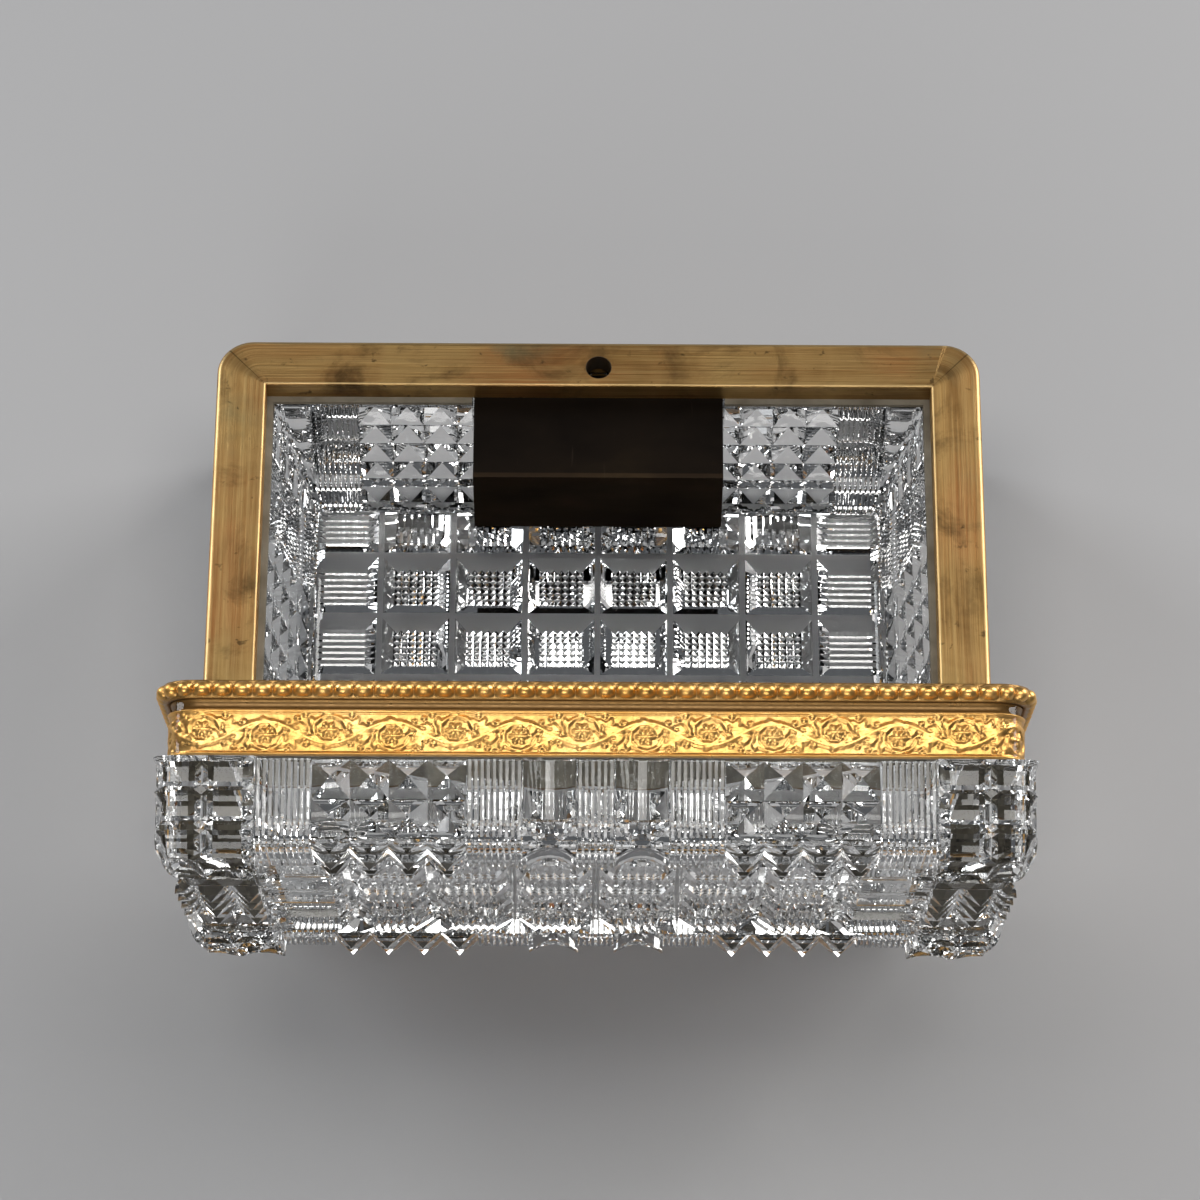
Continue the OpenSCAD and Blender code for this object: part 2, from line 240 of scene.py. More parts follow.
def mix(add, link, fac, a, b):
    """Colour a towards colour b by fac."""
    m = add("ShaderNodeMix", data_type="RGBA")
    for socket, value in ((m.inputs[0], fac), (m.inputs[6], a), (m.inputs[7], b)):
        if hasattr(value, "is_output"):
            link(value, socket)
        else:
            socket.default_value = value if not isinstance(value, tuple) else (*value, 1)
    return m.outputs[2]


def band(add, link, source, lo, hi, to_lo=0.0, to_hi=1.0):
    """A value mapped from one range to another, held at the ends."""
    m = add("ShaderNodeMapRange")
    link(source, m.inputs["Value"])
    for k, v in (("From Min", lo), ("From Max", hi), ("To Min", to_lo), ("To Max", to_hi)):
        m.inputs[k].default_value = v
    return m.outputs["Result"]


def bump(add, link, shader, height, strength, distance):
    """Fine relief on a shader, from a height."""
    b = add("ShaderNodeBump")
    b.inputs["Strength"].default_value = strength
    b.inputs["Distance"].default_value = distance
    link(height, b.inputs["Height"])
    link(b.outputs["Normal"], shader.inputs["Normal"])


def crystal():
    """Clear lead crystal: bright refraction, hardly any colour, faint polishing marks."""
    m, s, add, link = tree("lead_crystal")
    s.inputs["Transmission Weight"].default_value = 1.0
    s.inputs["IOR"].default_value = 1.54
    obj = add("ShaderNodeTexCoord").outputs["Object"]
    cloud = grain(add, link, obj, 60, 3)
    tones = [(0.3, (0.955, 0.965, 0.965)), (0.7, (0.985, 0.99, 0.99))]
    link(ramp(add, link, cloud, tones), s.inputs["Base Color"])
    wipe = grain(add, link, obj, 900, 3, (1, 1, 0.2))
    link(band(add, link, wipe, 0.3, 0.8, 0.0, 0.015), s.inputs["Roughness"])
    bump(add, link, s, grain(add, link, obj, 140, 2), 0.03, 0.0003)
    return m


def gilt():
    """Fire gilding: warm yellow on the raised work, browner and duller in the recesses."""
    m, s, add, link = tree("gilt_bronze")
    obj = add("ShaderNodeTexCoord").outputs["Object"]
    low = add("ShaderNodeAttribute", attribute_name="recess").outputs["Fac"]
    cloud = grain(add, link, obj, 110, 5)
    tones = [(0.25, (0.80, 0.43, 0.11)), (0.5, (0.93, 0.53, 0.16)), (0.75, (0.99, 0.61, 0.22))]
    gold = ramp(add, link, cloud, tones)
    link(mix(add, link, low, gold, (0.22, 0.12, 0.035)), s.inputs["Base Color"])
    link(band(add, link, low, 0.2, 1.0, 1.0, 0.55), s.inputs["Metallic"])
    worn = grain(add, link, obj, 700, 4)
    link(band(add, link, worn, 0.3, 0.7, 0.26, 0.46), s.inputs["Roughness"])
    bump(add, link, s, grain(add, link, obj, 2600, 3), 0.3, 0.0001)
    return m


def aged_brass(brushed):
    """Old brass: fine lines, brown and orange tarnish in clouds, dark pin spots and a little green.
    Brushed, for the rim, the lines and the stretched gloss follow each bar's length, and the latch hole's
    wall is painted near black and not metallic, as painted shade inside the hole. Otherwise the lines run
    across the case."""
    m, s, add, link = tree("brushed_brass" if brushed else "aged_brass")
    s.inputs["Metallic"].default_value = 1.0
    tc = add("ShaderNodeTexCoord")
    obj, uv = tc.outputs["Object"], tc.outputs["UV"]
    across = uv if brushed else obj
    lines = grain(add, link, across, 1.0, 5, (22, 1500, 1500), rough=0.7)
    broad = grain(add, link, across, 1.0, 3, (9, 260, 260), rough=0.6)
    clouds = grain(add, link, obj, 46, 6, distortion=0.8)
    patch = grain(add, link, obj, 21, 4, distortion=1.2)
    tones = [(0.3, (0.17, 0.085, 0.026)), (0.47, (0.34, 0.19, 0.066)), (0.68, (0.52, 0.33, 0.12))]
    base = ramp(add, link, clouds, tones)
    base = mix(add, link, band(add, link, patch, 0.46, 0.62, 0.0, 0.9), base, (0.36, 0.15, 0.05))
    base = mix(add, link, band(add, link, broad, 0.4, 0.7, 0.0, 0.5), base, (0.56, 0.36, 0.13))
    base = mix(add, link, band(add, link, lines, 0.42, 0.7, 0.0, 0.5), base, (0.68, 0.47, 0.20))
    soot = grain(add, link, obj, 70, 6, distortion=0.4, rough=0.65)
    base = mix(add, link, band(add, link, soot, 0.52, 0.72, 0.0, 0.85), base, (0.085, 0.048, 0.02))
    spots = band(add, link, grain(add, link, obj, 420, 3, distortion=0.3), 0.66, 0.74, 0.0, 0.7)
    base = mix(add, link, spots, base, (0.05, 0.03, 0.015))
    verd = add("ShaderNodeMath", operation="MULTIPLY")
    link(band(add, link, grain(add, link, obj, 24, 4), 0.58, 0.68), verd.inputs[0])
    link(band(add, link, grain(add, link, obj, 150, 4), 0.45, 0.65, 0.0, 0.7), verd.inputs[1])
    base = mix(add, link, verd.outputs[0], base, (0.20, 0.20, 0.11))
    edge = add("ShaderNodeAttribute", attribute_name="edge").outputs["Fac"]
    base = mix(add, link, band(add, link, edge, 0.3, 1.0, 0.0, 0.8), base, (0.85, 0.62, 0.30))
    mitre = add("ShaderNodeAttribute", attribute_name="mitre").outputs["Fac"]
    base = mix(add, link, band(add, link, mitre, 0.72, 0.95, 0.0, 0.7), base, (0.06, 0.035, 0.015))
    if brushed:
        # painted shade: at the latch hole's wall the colour goes near black and the metal turns dull,
        # standing in for the shade inside the hole
        lo, hi = (HOLE_R + 0.02) * 0.001, (HOLE_R + 0.12) * 0.001
        away = add("ShaderNodeVectorMath", operation="DISTANCE")
        flat = add("ShaderNodeVectorMath", operation="MULTIPLY")
        link(obj, flat.inputs[0])
        flat.inputs[1].default_value = (1, 1, 0)
        link(flat.outputs["Vector"], away.inputs[0])
        away.inputs[1].default_value = (0, HOLE_Y * 0.001, 0)
        hole_wall_shade = band(add, link, away.outputs["Value"], lo, hi, 0.85, 0.0)
        base = mix(add, link, hole_wall_shade, base, (0.012, 0.007, 0.004))
        link(band(add, link, away.outputs["Value"], lo, hi, 0.0, 1.0), s.inputs["Metallic"])
        s.inputs["Anisotropic"].default_value = 0.6
        s.inputs["Anisotropic Rotation"].default_value = 0.25
        along = add("ShaderNodeTangent", direction_type="UV_MAP", uv_map="UVMap")
        link(along.outputs["Tangent"], s.inputs["Tangent"])
    link(base, s.inputs["Base Color"])
    link(band(add, link, clouds, 0.3, 0.7, 0.5, 0.36), s.inputs["Roughness"])
    bump(add, link, s, lines, 0.5, 0.0002)
    return m


def dark_patina(name, painted_light_scale):
    """Box-lock sheet: nearly black brown in clouds, with fine scratches. The scale multiplies every tone
    and is painted light and shade: one copy is darkened so the lock case's top, lit from above, comes out
    like its front, and another is lightened for the front cover plate."""
    m, s, add, link = tree(name)
    s.inputs["Specular IOR Level"].default_value = 0.06
    obj = add("ShaderNodeTexCoord").outputs["Object"]
    clouds = grain(add, link, obj, 55, 5, (1, 2, 2))
    tones = ((0.3, (0.008, 0.005, 0.003)), (0.6, (0.014, 0.0085, 0.0045)), (0.8, (0.024, 0.015, 0.007)))
    base = ramp(add, link, clouds, [(at, tuple(painted_light_scale * c for c in tone)) for at, tone in tones])
    scratch = band(add, link, grain(add, link, obj, 900, 2, (1, 0.08, 0.4)), 0.70, 0.76, 0, 0.2)
    link(mix(add, link, scratch, base, (0.05, 0.036, 0.025)), s.inputs["Base Color"])
    link(band(add, link, clouds, 0.3, 0.7, 0.8, 0.6), s.inputs["Roughness"])
    bump(add, link, s, grain(add, link, obj, 300, 4), 0.2, 0.0002)
    return m


def steel():
    """Dull bright steel with fine file marks."""
    m, s, add, link = tree("dull_steel")
    s.inputs["Metallic"].default_value = 1.0
    obj = add("ShaderNodeTexCoord").outputs["Object"]
    lines = grain(add, link, obj, 500, 3, (0.1, 1, 3))
    tones = [(0.3, (0.28, 0.27, 0.25)), (0.7, (0.56, 0.55, 0.52))]
    link(ramp(add, link, lines, tones), s.inputs["Base Color"])
    link(band(add, link, lines, 0.3, 0.7, 0.3, 0.5), s.inputs["Roughness"])
    return m


def bedding():
    """Old yellow-grey plaster, matt and a little uneven."""
    m, s, add, link = tree("plaster_bedding")
    obj = add("ShaderNodeTexCoord").outputs["Object"]
    tones = [(0.3, (0.16, 0.135, 0.095)), (0.7, (0.30, 0.27, 0.21))]
    link(ramp(add, link, grain(add, link, obj, 160, 5), tones), s.inputs["Base Color"])
    s.inputs["Roughness"].default_value = 0.85
    bump(add, link, s, grain(add, link, obj, 900, 4), 0.4, 0.0002)
    return m


CRYSTAL, GILT, STEEL, PLASTER = crystal(), gilt(), steel(), bedding()
# painted shade and light: the lock case's copy is darkened so its lit top matches the front, and the
# cover's copy is lightened
LOCK_PATINA_DARKENED, LOCK_COVER_LIGHTENED = dark_patina("lock_patina_painted_shade", 0.55), dark_patina("lock_cover_patina_painted_light", 1.7)
BRASS, BRUSHED = aged_brass(False), aged_brass(True)
FINISH = {"crystal": CRYSTAL, "gilt": GILT, "aged_brass": BRASS, "lock_dark": LOCK_PATINA_DARKENED, "steel": STEEL,
          "plaster": PLASTER}
for entry in frame["record"]["subparts"]:
    obj = NODES[entry["node"]]
    obj.data.materials.clear()
    obj.data.materials.append(FINISH[entry["material_slot"]])
for name in ("lock_cover", "key_post"):          # the cover plate and the post's riveted end take the lightened copy: painted light on the lock's front face
    NODES[name].data.materials[0] = LOCK_COVER_LIGHTENED


# ---------------------------------------------------------------- cut crystal
EDGE_X, EDGE_Y = HALF_W - 0.1, HALF_D - 0.1   # envelope of the crystal's tips
EDGE_R = 5.0             # radius of the rolled edge where wall turns into flat
TURN_R = 3.0             # upright corner radius
DIAMOND = 3.2            # depth of the diamonds
FLUTE_BED, FLUTE = 2.3, 0.35   # depth of the lands between flutes, and how much deeper a flute is
HOLLOW_TOP, HOLLOW = 0.15, 1.5   # the corner hollows: the least depth, and what is added in the middle
THUMB_TOP, THUMB = 0.9, 2.4    # the same for the two thumb cuts
# panels along a long wall, by distance from its middle: flutes, thumb cut, flutes, diamonds, flutes, corner
RIB_END, THUMB_END, DIAMOND_AT, DIAMOND_END, LONG_CORNER = 3.2, 12.4, 21.8, 48.0, 57.4
# panels along a short wall: diamonds, flutes, corner
SHORT_DIAMOND_END, SHORT_CORNER = 14.0, 31.0
CORNER_RIB_X, CORNER_RIB_Y = 66.3, 38.5   # upright rib between the two stacks of hollows at a corner
THUMB_MID, THUMB_R = 7.8, 4.6   # middle line of a thumb cut, and the radius of its round end
NEXT_THUMB = 5.6         # from the first thumb cut's end to the middle of the next one's round end
PANEL_EDGE = 0.12        # half width of the step from one panel to the next
INSET_END = 16.5         # where the wall cutting ends on the flat
BED = 2.6                # depth of the waffle's cell tops
CELLS_X = np.array([-54.8, -43.5, -29, -14.5, 0, 14.5, 29, 43.5, 54.8])
CELLS_Y = np.array([-31.2, -20.55, -6.85, 6.85, 20.55, 31.2])
STRIP = 0.6              # half width of the smooth band between two cells
BEVEL_W, BEVEL = 2.2, 2.3   # width and height of a cell's sloping border
BORDER = 2.8             # strip and sloping border together
HATCH = 0.6              # height of the small pyramids on a cell
HATCH_ROWS = 6           # pyramids along a cell
HATCH_X, HATCH_Y = (8.9, 8.5), (8.1, 7.85)   # what they fill, on an inner cell and on an outer one
FILLET = 1.6             # round between the hollow's walls and its floor
CORNER_STEPS = 6         # samples round an upright corner
MOUTH_CORNER = 1.5       # corner radius of the hollow
COARSE = 400             # a step longer than any side, which leaves a side with two spans


def saw(x, pitch):
    """Triangle wave from 1 at each multiple of the pitch to 0 half way between."""
    return np.abs(2 * (x / pitch - np.floor(x / pitch)) - 1)


def wall_depth(long_side, t, w, pitch, step, thumb_rows):
    """Depth of the cutting under the envelope at place t along a side and w down its profile. Diamonds
    are square pyramids, the larger of two triangle waves. Flutes are narrow V-grooves with flat lands
    between, on a lower bed. Corners are stacked hollows, each falling off with the fourth power on all
    sides. The middle of a long side has two thumb cuts, hollows falling off with the square of the
    distance to a line down the wall, with flutes between them."""
    a = np.abs(t)
    if long_side:
        first, last, rows = DIAMOND_AT, DIAMOND_END, 4
        near, mid = a < RIB_END, a < DIAMOND_AT
        fluted = (a >= THUMB_END) & mid | (a >= last) & (a < LONG_CORNER) | near
        start = np.where(near, 0.0, np.where(mid, THUMB_END, last))
        wide = np.where(near, RIB_END, np.where(mid, DIAMOND_AT - THUMB_END, LONG_CORNER - last))
        flutes = np.where(near, 3, 9)
        corner, rib_at, end = LONG_CORNER, CORNER_RIB_X, EDGE_X - TURN_R
    else:
        first, last, rows = 0.0, SHORT_DIAMOND_END, 2
        fluted = (a >= last) & (a < SHORT_CORNER)
        start, wide, flutes = last, SHORT_CORNER - last, 16
        corner, rib_at, end = SHORT_CORNER, CORNER_RIB_Y, EDGE_Y - TURN_R
    groove = FLUTE_BED + FLUTE * np.clip(2 * saw((a - start) / wide * flutes, 1.0) - 1, 0, 1)
    diamond = DIAMOND * np.maximum(saw(a - first, (last - first) / rows), saw(w, pitch))
    u = np.where(a < rib_at, 2 * (a - corner) / (rib_at - corner) - 1, (a - rib_at) / (end - rib_at) - 1)
    hollow = HOLLOW_TOP + HOLLOW * np.clip(1 - u ** 4 - saw(w, step) ** 4, 0, 1)
    depth = np.where(fluted, groove, np.where((a >= first) & (a < last), diamond, hollow))
    if long_side:
        stop = thumb_rows * pitch
        above, below = np.maximum(w - (stop - THUMB_R), 0), np.maximum((stop + NEXT_THUMB) - w, 0)
        rho = np.hypot(a - THUMB_MID, np.where(w < stop, above, below)) / THUMB_R
        thumb = THUMB_TOP + THUMB * np.clip(1 - rho ** 2, 0, 1)
        depth = np.where((a >= RIB_END) & (a < THUMB_END), thumb, depth)
    return depth


def inside(lo, hi, spans):
    """The places that cut the stretch from lo to hi into equal spans, without its two ends."""
    return list(np.linspace(lo, hi, spans + 1)[1:-1])


def steps(lo, hi, spans):
    """The same for a stretch between two panels, reckoned from lo in whole steps."""
    return list(lo + np.arange(1, spans) * round(hi - lo, 6) / spans)


def side_lines(long_side):
    """Places along one side where grid lines run: every crease of the cutting, and the two sides of
    each panel's edge."""
    e = PANEL_EDGE
    if long_side:
        corner, rib_at, end = LONG_CORNER, CORNER_RIB_X, EDGE_X - TURN_R
        half = steps(0, RIB_END, 12) + inside(RIB_END + e, THUMB_END - e, 12)
        half += steps(THUMB_END, DIAMOND_AT, 36) + steps(DIAMOND_AT, DIAMOND_END, 32)
        half += steps(DIAMOND_END, corner, 36) + inside(corner + e, rib_at, 9) + inside(rib_at, end, 5)
        edges = (RIB_END, THUMB_END, DIAMOND_AT, DIAMOND_END, corner)
    else:
        corner, rib_at, end = SHORT_CORNER, CORNER_RIB_Y, EDGE_Y - TURN_R
        half = steps(0, SHORT_DIAMOND_END, 16) + steps(SHORT_DIAMOND_END, corner, 64)
        half += inside(corner + e, rib_at, 8) + inside(rib_at, end, 6)
        edges = (SHORT_DIAMOND_END, corner)
    half += [0.0, rib_at, end] + [at + d for at in edges for d in (-e, e)]
    half = np.sort(half)
    return np.concatenate([-half[:0:-1], half])


def wall_samples():
    """All samples round the crystal: the side, the place along it, and the angle through the corner
    after it (0 on the straight)."""
    out = []
    for k in range(4):
        t = side_lines(k % 2 == 0)
        out.append(np.column_stack([np.full(len(t), k), t, np.zeros(len(t))]))
        a = inside(0, math.pi / 2, CORNER_STEPS + 1)
        end = (EDGE_X if k % 2 == 0 else EDGE_Y) - TURN_R
        out.append(np.column_stack([np.full(len(a), k), np.full(len(a), end), a]))
    return np.vstack(out)


def place(samples, inset):
    """Plan position of each sample at a given inset under the envelope. Along a side only the corner
    panel is squeezed, so the other panels run straight over the edge; round a corner the radius shrinks
    with the inset."""
    k = samples[:, 0].astype(int)[None]
    t, a = samples[:, 1][None], samples[:, 2][None]
    long_side = k % 2 == 0
    along = np.where(long_side, EDGE_X, EDGE_Y)
    out = np.where(long_side, EDGE_Y, EDGE_X)
    fixed = np.where(long_side, LONG_CORNER, SHORT_CORNER) + 0.1
    r = np.maximum(TURN_R - inset, 0.3)
    far = along - inset - r
    squeezed = fixed + (np.abs(t) - fixed) * (far - fixed) / (along - TURN_R - fixed)
    m = np.where(np.abs(t) <= fixed, t, np.sign(t) * squeezed)
    m = m + r * np.sin(a)
    o = (out - inset) - r * (1 - np.cos(a))
    dx, dy = np.array([1, 0, -1, 0])[k], np.array([0, 1, 0, -1])[k]
    return m * dx + o * dy, m * dy - o * dx


def waffle_depth(x, y):
    """Depth of the flat's cutting: square cells with bevelled borders between smooth bands, and on each
    cell small pyramids. The outer cells have plain lines running towards the edge."""
    gx = np.min(np.abs(x[..., None] - CELLS_X[1:-1]), axis=-1)
    gy = np.min(np.abs(y[..., None] - CELLS_Y[1:-1]), axis=-1)
    m = np.minimum(gx, gy) - STRIP
    bevel = BEVEL * (1 - np.clip(m / BEVEL_W, 0, 1))
    side, end = np.abs(x) > CELLS_X[-2], np.abs(y) > CELLS_Y[-2]
    fx = saw(gx - BORDER, np.where(side, HATCH_X[1], HATCH_X[0]) / HATCH_ROWS)
    fy = saw(gy - BORDER, np.where(end, HATCH_Y[1], HATCH_Y[0]) / HATCH_ROWS)
    hatch = np.where(side, fy, np.where(end, fx, np.maximum(fx, fy)))
    return BED + bevel + np.where(m >= BEVEL_W - 1e-6, HATCH * hatch, 0)


def cell_lines(edges):
    """Grid lines over a row of cells: band edges, bevel edge and each pyramid's side and middle."""
    lines = []
    for k in range(len(edges) - 1):
        lo, hi = edges[k], edges[k + 1]
        a = lo if k == 0 else lo + BORDER
        b = hi if k == len(edges) - 2 else hi - BORDER
        lines += list(np.linspace(a, b, 2 * HATCH_ROWS + 1))
        if k:
            lines += [lo - STRIP, lo, lo + STRIP]
    return np.unique(np.round(lines, 5))


def joined_loops(a, b):
    """Triangles between two closed loops of equal count, each given by its points' numbers in order."""
    a2, b2 = np.roll(a, -1), np.roll(b, -1)
    return np.vstack([np.column_stack([a, a2, b2]), np.column_stack([a, b2, b])])


def crystal_shell(name, body, shoulder, mouth, floor, mouth_half, pitch, step, thumb_rows,
                  lock=None, flip=None):
    """One closed shell of cut crystal. Heights are counted from the envelope of the flat face. The wall
    profile runs from the shoulder straight to the rolled edge, round it on a quarter circle and in over
    the flat. The flat's waffle is a grid of its own. The neck, the lip and the hollow are loops joined
    to them."""
    samples = wall_samples()
    n = len(samples)
    straight, roll = shoulder - EDGE_R, EDGE_R * math.pi / 2
    w_end = straight + roll + (INSET_END - EDGE_R)
    w = np.append(np.arange(0, w_end - 0.3, pitch / 8), w_end)

    def profile(w, d):
        """Inset and height of a point w down the profile and d under it, at right angles to it."""
        a = np.clip((w - straight) / EDGE_R, 0, math.pi / 2)
        inset = EDGE_R * (1 - np.cos(a)) + np.clip(w - straight - roll, 0, None) + d * np.cos(a)
        h = np.where(w < straight, shoulder - w, EDGE_R * (1 - np.sin(a))) + d * np.sin(a)
        return inset, h

    def depth_at(k, t, w):
        """Depth of the cutting on side k, ending level with the waffle's cells."""
        long_depth = wall_depth(True, t, w, pitch, step, thumb_rows)
        short_depth = wall_depth(False, t, w, pitch, step, thumb_rows)
        return np.where(w > w_end - 0.2, BED, np.where(k % 2 == 0, long_depth, short_depth))

    # wall: a grid of profile samples round the case
    K, W = np.meshgrid(samples[:, 0], w)
    T = np.meshgrid(samples[:, 1], w)[0]
    depth = depth_at(K, T, W)
    inset, h = profile(W, depth)
    x, y = place(samples, inset)
    points = [np.column_stack([x.ravel(), y.ravel(), h.ravel()])]
    following = np.roll(samples, -1, axis=0)
    same_side = following[:, 0] == samples[:, 0]
    mid_t = np.where(same_side, (samples[:, 1] + following[:, 1]) / 2, samples[:, 1])
    Km, Wm = np.meshgrid(samples[:, 0], (w[1:] + w[:-1]) / 2)
    centre = depth_at(Km, np.meshgrid(mid_t, w[1:])[0], Wm)
    tris = [split_quads(tube_faces(len(w), n), depth.ravel(), centre.ravel())]
    count = len(points[0])
    last = np.arange(n) + (len(w) - 1) * n

    # flat: the waffle's grid, laced to the wall's last row
    gx, gy = cell_lines(CELLS_X), cell_lines(CELLS_Y)
    X, Y = np.meshgrid(gx, gy)
    depth = waffle_depth(X, Y)
    points.append(np.column_stack([X.ravel(), Y.ravel(), depth.ravel()]))
    cols = len(gx)
    i, j = np.meshgrid(np.arange(len(gy) - 1), np.arange(cols - 1), indexing="ij")
    corners = [i * cols + j, i * cols + j + 1, (i + 1) * cols + j + 1, (i + 1) * cols + j]
    mid_x, mid_y = np.meshgrid((gx[1:] + gx[:-1]) / 2, (gy[1:] + gy[:-1]) / 2)
    quads = np.stack(corners, -1).reshape(-1, 4)
    tris.append(split_quads(quads, depth.ravel(), waffle_depth(mid_x, mid_y).ravel()) + count)
    on_edge = (np.abs(X) > CELLS_X[-1] - 1e-6) | (np.abs(Y) > CELLS_Y[-1] - 1e-6)
    edge = np.flatnonzero(on_edge.ravel())
    wall_turn = square_angle(x[-1], y[-1], EDGE_X - INSET_END, EDGE_Y - INSET_END)
    flat_turn = square_angle(X.ravel()[edge], Y.ravel()[edge], CELLS_X[-1], CELLS_Y[-1])
    tris.append(lace(last, wall_turn, edge + count, flat_turn))
    count += len(points[-1])

    # neck: two loops, at the shoulder and at the lip
    nx, ny = place(samples, np.full((1, n), NECK_IN))
    for height in (shoulder, mouth):
        points.append(np.column_stack([nx[0], ny[0], np.full(n, height)]))
    shoulder_loop, lip_loop = np.arange(n) + count, np.arange(n) + count + n
    tris += [joined_loops(np.arange(n), shoulder_loop), joined_loops(shoulder_loop, lip_loop)]
    count += 2 * n

    # hollow: loops from the lip down to the floor, then a fan
    def hollow_loop(half_x, half_y, notch):
        """Outline of the hollow at one height, with the front set back to notch where the lock stands."""
        p = round_rectangle(half_x, half_y, MOUTH_CORNER, COARSE, CORNER_STEPS)[0]
        if not lock:
            return p
        half = lock["half"]
        front = max(notch, half_y)
        recess = [[-half, -half_y], [-half, -front - 1e-4], [half, -front - 1e-4], [half, -half_y]]
        return np.vstack([p[:1], recess, p[2:]])

    levels = [(mouth, lock["deep"] if lock else 0, 0.0)]
    if lock:
        levels += [(lock["upper"], lock["deep"], 0.0), (lock["upper"], lock["shallow"], 0.0)]
        levels += [(lock["lower"], lock["shallow"], 0.0), (lock["lower"], 0, 0.0)]
    for v in np.linspace(0, math.pi / 2, 6):
        levels.append((floor + FILLET * (1 - math.sin(v)), 0, FILLET * (1 - math.cos(v))))
    loops = []
    for height, notch, round_in in levels:
        drawn_in = SLOPE * (mouth - height)
        p = hollow_loop(mouth_half[0] - drawn_in - round_in, mouth_half[1] - drawn_in - round_in, notch)
        loops.append(np.column_stack([p, np.full(len(p), height)]))
    m = len(loops[0])
    points.append(np.vstack(loops))
    quads = tube_faces(len(loops), m, start=count)
    tris.append(np.vstack([quads[:, [0, 1, 2]], quads[:, [0, 2, 3]]]))
    lip_turn = square_angle(nx[0], ny[0], *mouth_half)
    mouth_turn = square_angle(loops[0][:, 0], loops[0][:, 1], *mouth_half)
    tris.append(lace(lip_loop, lip_turn, np.arange(m) + count, mouth_turn))
    bottom = np.arange(m) + count + (len(loops) - 1) * m
    count += len(points[-1])
    points.append(np.array([[0, 0, floor]]))
    tris.append(np.column_stack([bottom, np.roll(bottom, -1), np.full(m, count)]))

    p = np.vstack(points)
    if flip is not None:
        p[:, 2] = flip - p[:, 2]
        p = opened(p)
    return piece(name, p, np.vstack(tris), CRYSTAL, body)


def hollow_half(down):
    """Half sizes of the sloping hollow at a distance down from the mating face."""
    return INNER_X - SLOPE * down, INNER_Y - SLOPE * down


NECK_IN = EDGE_X - NECK_X
BODY_LIP, LID_LIP = 0.6, 2.1   # the crystal's lip below the body's rim, and above the lid's mating face
LOCK_ROOM = dict(half=24.9, upper=BAND_LO[2] - 0.2, lower=RIM_Z - 20.4, deep=44.9, shallow=37.8)
body_glass = crystal_shell(
    "cut_crystal_body", "body", shoulder=BAND_LO[2] - 0.4, mouth=RIM_Z - BODY_LIP, floor=8.7,
    mouth_half=hollow_half(BODY_H - RIM_Z + BODY_LIP), pitch=6.3, step=7.3, thumb_rows=4.1, lock=LOCK_ROOM)
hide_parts("crystal_body")
lid_glass = crystal_shell(
    "cut_crystal_lid", "lid", shoulder=LID_TOP - LID_GLASS_Z, mouth=LID_TOP - (LID_Z + LID_LIP), floor=7.9,
    mouth_half=hollow_half(LID_LIP), pitch=6.75, step=6.1, thumb_rows=2.15, flip=LID_TOP)
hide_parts("crystal_lid")


# ---------------------------------------------------------------- gilt mounts
STEM_SWING, STEM_HALF = 2.2, 0.6   # how far the scroll's stem swings from the middle, and its half width
FLOWER_OFF = 0.55        # how far a flower lies past the middle line
ARM_R, ARM_GROWTH = 2.05, 0.16   # radius where an arm starts, and its growth for each radian
BERRIES = ((3.9, 3.0), (-3.9, 2.9), (3.7, -2.7), (-3.8, -2.8), (5.25, 2.4), (-5.25, -1.9))
FRIEZE_PITCH, BEAD_PITCH, GROOVE_PITCH = 21, 3.4, 2   # lengths of one repeat
FIELD, FIELD_HALF = 0.86, 4.6   # share of the band the scroll fills, and the half height it is drawn at
BEAD_SHARE = 0.86        # share of the bead row's height that the beads fill
BAND_PLAN = (BAND_X, BAND_Y, BAND_CORNER)
BEAD_PLAN = (HALF_W, HALF_D, RIM_CORNER)


def bumps(x, y, cx, cy, r):
    """Round boss: the square root of one less the squared distance over r squared, zero outside."""
    return np.sqrt(np.clip(1 - ((x - cx) ** 2 + (y - cy) ** 2) / r ** 2, 0, 1))


def petals(x, y, r, count, depth):
    """Flower: a dome whose edge radius waves with the cosine of count times the angle, with a furrow
    between petals."""
    ang, rad = np.arctan2(y, x), np.hypot(x, y)
    wave = np.cos(count * ang)
    return np.sqrt(np.clip(1 - (rad / (r * (1 + depth * wave))) ** 2, 0, 1)) * (0.8 + 0.2 * wave)


def leaf(x, y, at_x, at_y, tilt, size):
    """Pointed leaf: an ellipse turned by tilt, its half width pinched towards the tip, a line sunk
    along its middle."""
    c, k = math.cos(tilt), math.sin(tilt)
    u = ((x - at_x) * c + (y - at_y) * k) / size
    w = (-(x - at_x) * k + (y - at_y) * c) / (0.45 * size * (1.05 - 0.5 * np.clip(u, -1, 1)))
    return np.sqrt(np.clip(1 - u ** 2 - w ** 2, 0, 1)) * (1 - 0.4 * np.exp(-(w / 0.28) ** 2))


